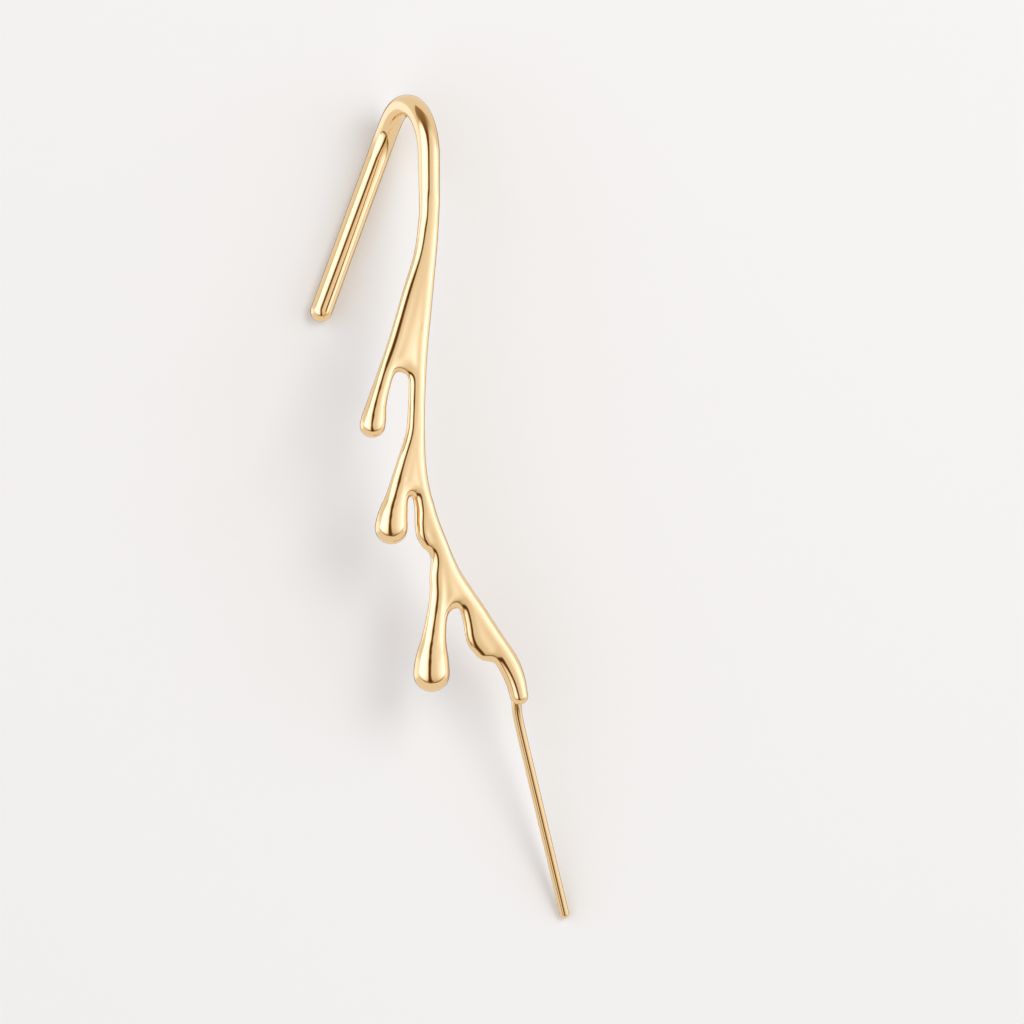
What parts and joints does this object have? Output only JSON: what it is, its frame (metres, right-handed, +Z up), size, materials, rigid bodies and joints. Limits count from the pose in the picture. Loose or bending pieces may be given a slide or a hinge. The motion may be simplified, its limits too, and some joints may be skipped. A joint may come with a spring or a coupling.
{
  "type": "ear cuff",
  "caption": "Polished gold ear cuff like melted metal: a hook over the ear, a long stem with drips ending in round bulbs, a rippled tip and a straight post.",
  "frame": {"origin": "middle of the base of the bounding box, on the surface that the cuff rests on", "axes": "+X along the stem from hook to post, +Z up out of the cuff's face as it lies on its back, +Y to the right of the stem seen from the front with the hook on top"},
  "size_m": [0.0748, 0.0238, 0.012],
  "materials": {
    "polished_gold": "mirror polished pale yellow gold plate"
  },
  "bodies": {
    "root": {"ear_cuff": "polished_gold"}
  },
  "joints": []
}
